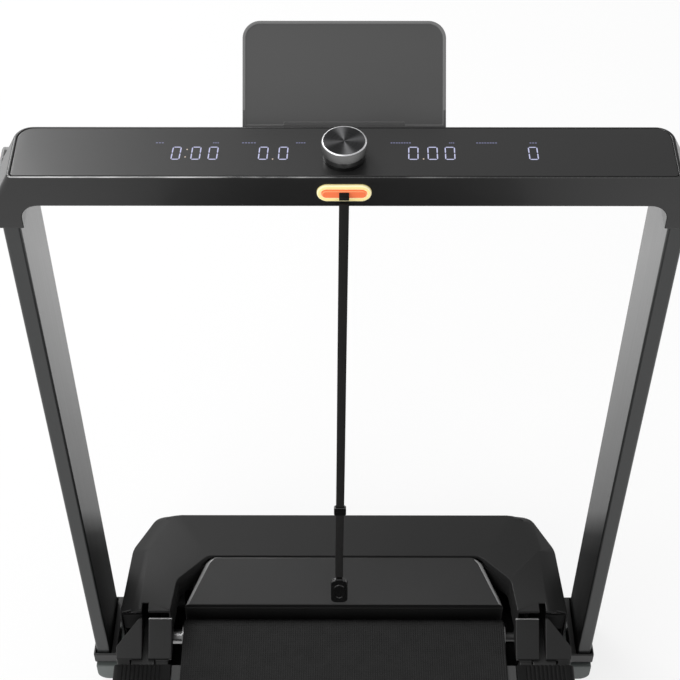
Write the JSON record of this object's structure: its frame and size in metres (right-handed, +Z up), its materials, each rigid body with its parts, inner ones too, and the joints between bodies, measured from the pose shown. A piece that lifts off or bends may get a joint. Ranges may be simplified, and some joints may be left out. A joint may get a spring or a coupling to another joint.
{
  "type": "folding walking pad",
  "caption": "Low treadmill with a belt deck that folds in half, a motor hood at its front and a fold-down handrail carrying a console bar, speed knob, safety lanyard and tablet rest.",
  "frame": {"origin": "on the floor under the middle of the unfolded pad's length and width", "axes": "+X to the user's right, +Y from the user towards the motor hood, +Z up"},
  "size_m": [0.714, 1.432, 1.027],
  "materials": {
    "frame_steel": "black powder coat",
    "deck_board": "grey laminate",
    "rail_plastic": "fine ribbed matt black",
    "belt_rubber": "fine diamond texture",
    "roller_steel": "turned",
    "bearing_steel": "ground",
    "pulley_alloy": "cast and turned",
    "hood_plastic": "fine moulded grain",
    "panel_plastic": "satin",
    "tray_plastic": "moulded",
    "motor_enamel": "black enamel",
    "circuit_board": "solder mask",
    "inlet_plastic": "moulded",
    "rocker_plastic": "gloss red",
    "foot_alloy": "grey paint on casting",
    "foot_rubber": "matt",
    "wheel_rubber": "moulded",
    "upright_alloy": "dark anodised",
    "boot_plastic": "moulded",
    "bar_plastic": "fine moulded grain",
    "console_gloss": "smoked satin",
    "knob_metal": "spun and brushed",
    "bezel_plastic": "gloss",
    "key_yellow": "semi-gloss",
    "key_orange": "semi-gloss",
    "strap_webbing": "woven flat strap",
    "clip_plastic": "gloss",
    "rest_plastic": "satin"
  },
  "bodies": {
    "base": {"front_side_members": "frame_steel", "front_cross_members": "frame_steel", "front_deck_board": "deck_board", "side_rail_front_right": "rail_plastic", "side_rail_front_left": "rail_plastic", "running_belt_front": "belt_rubber", "front_roller_shaft": "roller_steel", "fold_hinge_leaves_front": "frame_steel", "fold_hinge_pins": "roller_steel", "motor_hood": "hood_plastic", "belt_entry_panel": "panel_plastic", "rail_end_blocks": "hood_plastic", "hinge_covers": "hood_plastic", "base_tray": "tray_plastic", "motor_plate": "frame_steel", "drive_motor": "motor_enamel", "drive_belt": "belt_rubber", "motor_controller": "circuit_board", "power_inlet": "inlet_plastic", "foot_brackets": "foot_alloy", "front_feet": "foot_rubber", "wheel_forks": "frame_steel", "handrail_pivot_pins": "roller_steel"},
    "front_roller": {"front_roller_tube": "roller_steel", "front_roller_bearings": "bearing_steel", "roller_pulley": "pulley_alloy"},
    "motor_rotor": {"motor_rotor": "roller_steel"},
    "power_rocker": {"power_rocker": "rocker_plastic"},
    "wheel_right": {"transport_wheel_right": "wheel_rubber"},
    "wheel_left": {"transport_wheel_left": "wheel_rubber"},
    "rear_deck": {"rear_side_members": "frame_steel", "rear_cross_members": "frame_steel", "rear_deck_board": "deck_board", "side_rail_rear_right": "rail_plastic", "side_rail_rear_left": "rail_plastic", "running_belt_rear": "belt_rubber", "rear_roller_shaft": "roller_steel", "rear_end_caps": "hood_plastic", "tension_screws": "roller_steel", "rear_feet": "foot_rubber", "fold_hinge_leaves_rear": "frame_steel"},
    "rear_roller": {"rear_roller_tube": "roller_steel", "rear_roller_bearings": "bearing_steel"},
    "handrail": {"upright_right": "upright_alloy", "upright_left": "upright_alloy", "boots": "boot_plastic", "handlebar_shell": "bar_plastic", "console_panel": "console_gloss", "display_board": "circuit_board", "knob_bezel": "bezel_plastic", "key_socket": "key_yellow", "tablet_rest_pin": "roller_steel"},
    "knob_spindle": {"knob_spindle": "roller_steel"},
    "speed_knob": {"speed_knob": "knob_metal"},
    "safety_key": {"safety_key": "key_orange"},
    "lanyard": {"lanyard_strap": "strap_webbing", "lanyard_slider": "clip_plastic", "lanyard_clip": "clip_plastic"},
    "clip_jaw": {"clip_jaw": "clip_plastic"},
    "tablet_rest": {"tablet_rest": "rest_plastic"}
  },
  "joints": [
    {"name": "deck_fold", "type": "hinge", "parent": "base", "child": "rear_deck", "pos_m": [0, -0.12, 0.135], "axis": [-1, 0, 0], "range_deg": [0, 180]},
    {"name": "handrail_fold", "type": "hinge", "parent": "base", "child": "handrail", "pos_m": [0.32, 0.552, 0.0485], "axis": [1, 0, 0], "range_deg": [0, 80]},
    {"name": "front_roller_spin", "type": "hinge", "parent": "base", "child": "front_roller", "pos_m": [0, 0.549, 0.102], "axis": [1, 0, 0], "continuous": true},
    {"name": "rear_roller_spin", "type": "hinge", "parent": "rear_deck", "child": "rear_roller", "pos_m": [0, -0.68, 0.102], "axis": [1, 0, 0], "continuous": true},
    {"name": "motor_spin", "type": "hinge", "parent": "base", "child": "motor_rotor", "pos_m": [-0.2, 0.64, 0.086], "axis": [1, 0, 0], "continuous": true},
    {"name": "wheel_right_spin", "type": "hinge", "parent": "base", "child": "wheel_right", "pos_m": [0.272, 0.626, 0.026], "axis": [1, 0, 0], "continuous": true},
    {"name": "wheel_left_spin", "type": "hinge", "parent": "base", "child": "wheel_left", "pos_m": [-0.272, 0.626, 0.026], "axis": [1, 0, 0], "continuous": true},
    {"name": "power_switch", "type": "hinge", "parent": "base", "child": "power_rocker", "pos_m": [0.169, 0.706, 0.084], "axis": [1, 0, 0], "range_deg": [0, 14]},
    {"name": "knob_press", "type": "slide", "parent": "handrail", "child": "knob_spindle", "axis": [0, 0, -1], "range_m": [0, 0.0008], "stiffness_N_per_m": 2000},
    {"name": "knob_turn", "type": "hinge", "parent": "knob_spindle", "child": "speed_knob", "pos_m": [0, 0.572, 0.98], "axis": [0, 0, 1], "continuous": true},
    {"name": "key_pull", "type": "slide", "parent": "handrail", "child": "safety_key", "axis": [0, -1, 0], "range_m": [0, 0.015]},
    {"name": "lanyard_swing", "type": "hinge", "parent": "safety_key", "child": "lanyard", "pos_m": [0, 0.5335, 0.9468], "axis": [1, 0, 0], "range_deg": [-170, 0]},
    {"name": "clip_open", "type": "hinge", "parent": "lanyard", "child": "clip_jaw", "pos_m": [-0.006, 0.5335, 0.252], "axis": [1, 0, 0], "range_deg": [0, 18], "stiffness_Nm_per_rad": 0.05},
    {"name": "tablet_fold", "type": "hinge", "parent": "handrail", "child": "tablet_rest", "pos_m": [0, 0.6286, 0.945], "axis": [-1, 0, 0], "range_deg": [0, 115]}
  ],
  "couplings": [
    {"joint": "rear_roller_spin", "follows": "front_roller_spin", "ratio": 1},
    {"joint": "motor_spin", "follows": "front_roller_spin", "ratio": 2.5},
    {"joint": "lanyard_swing", "follows": "handrail_fold", "ratio": -2.125}
  ]
}
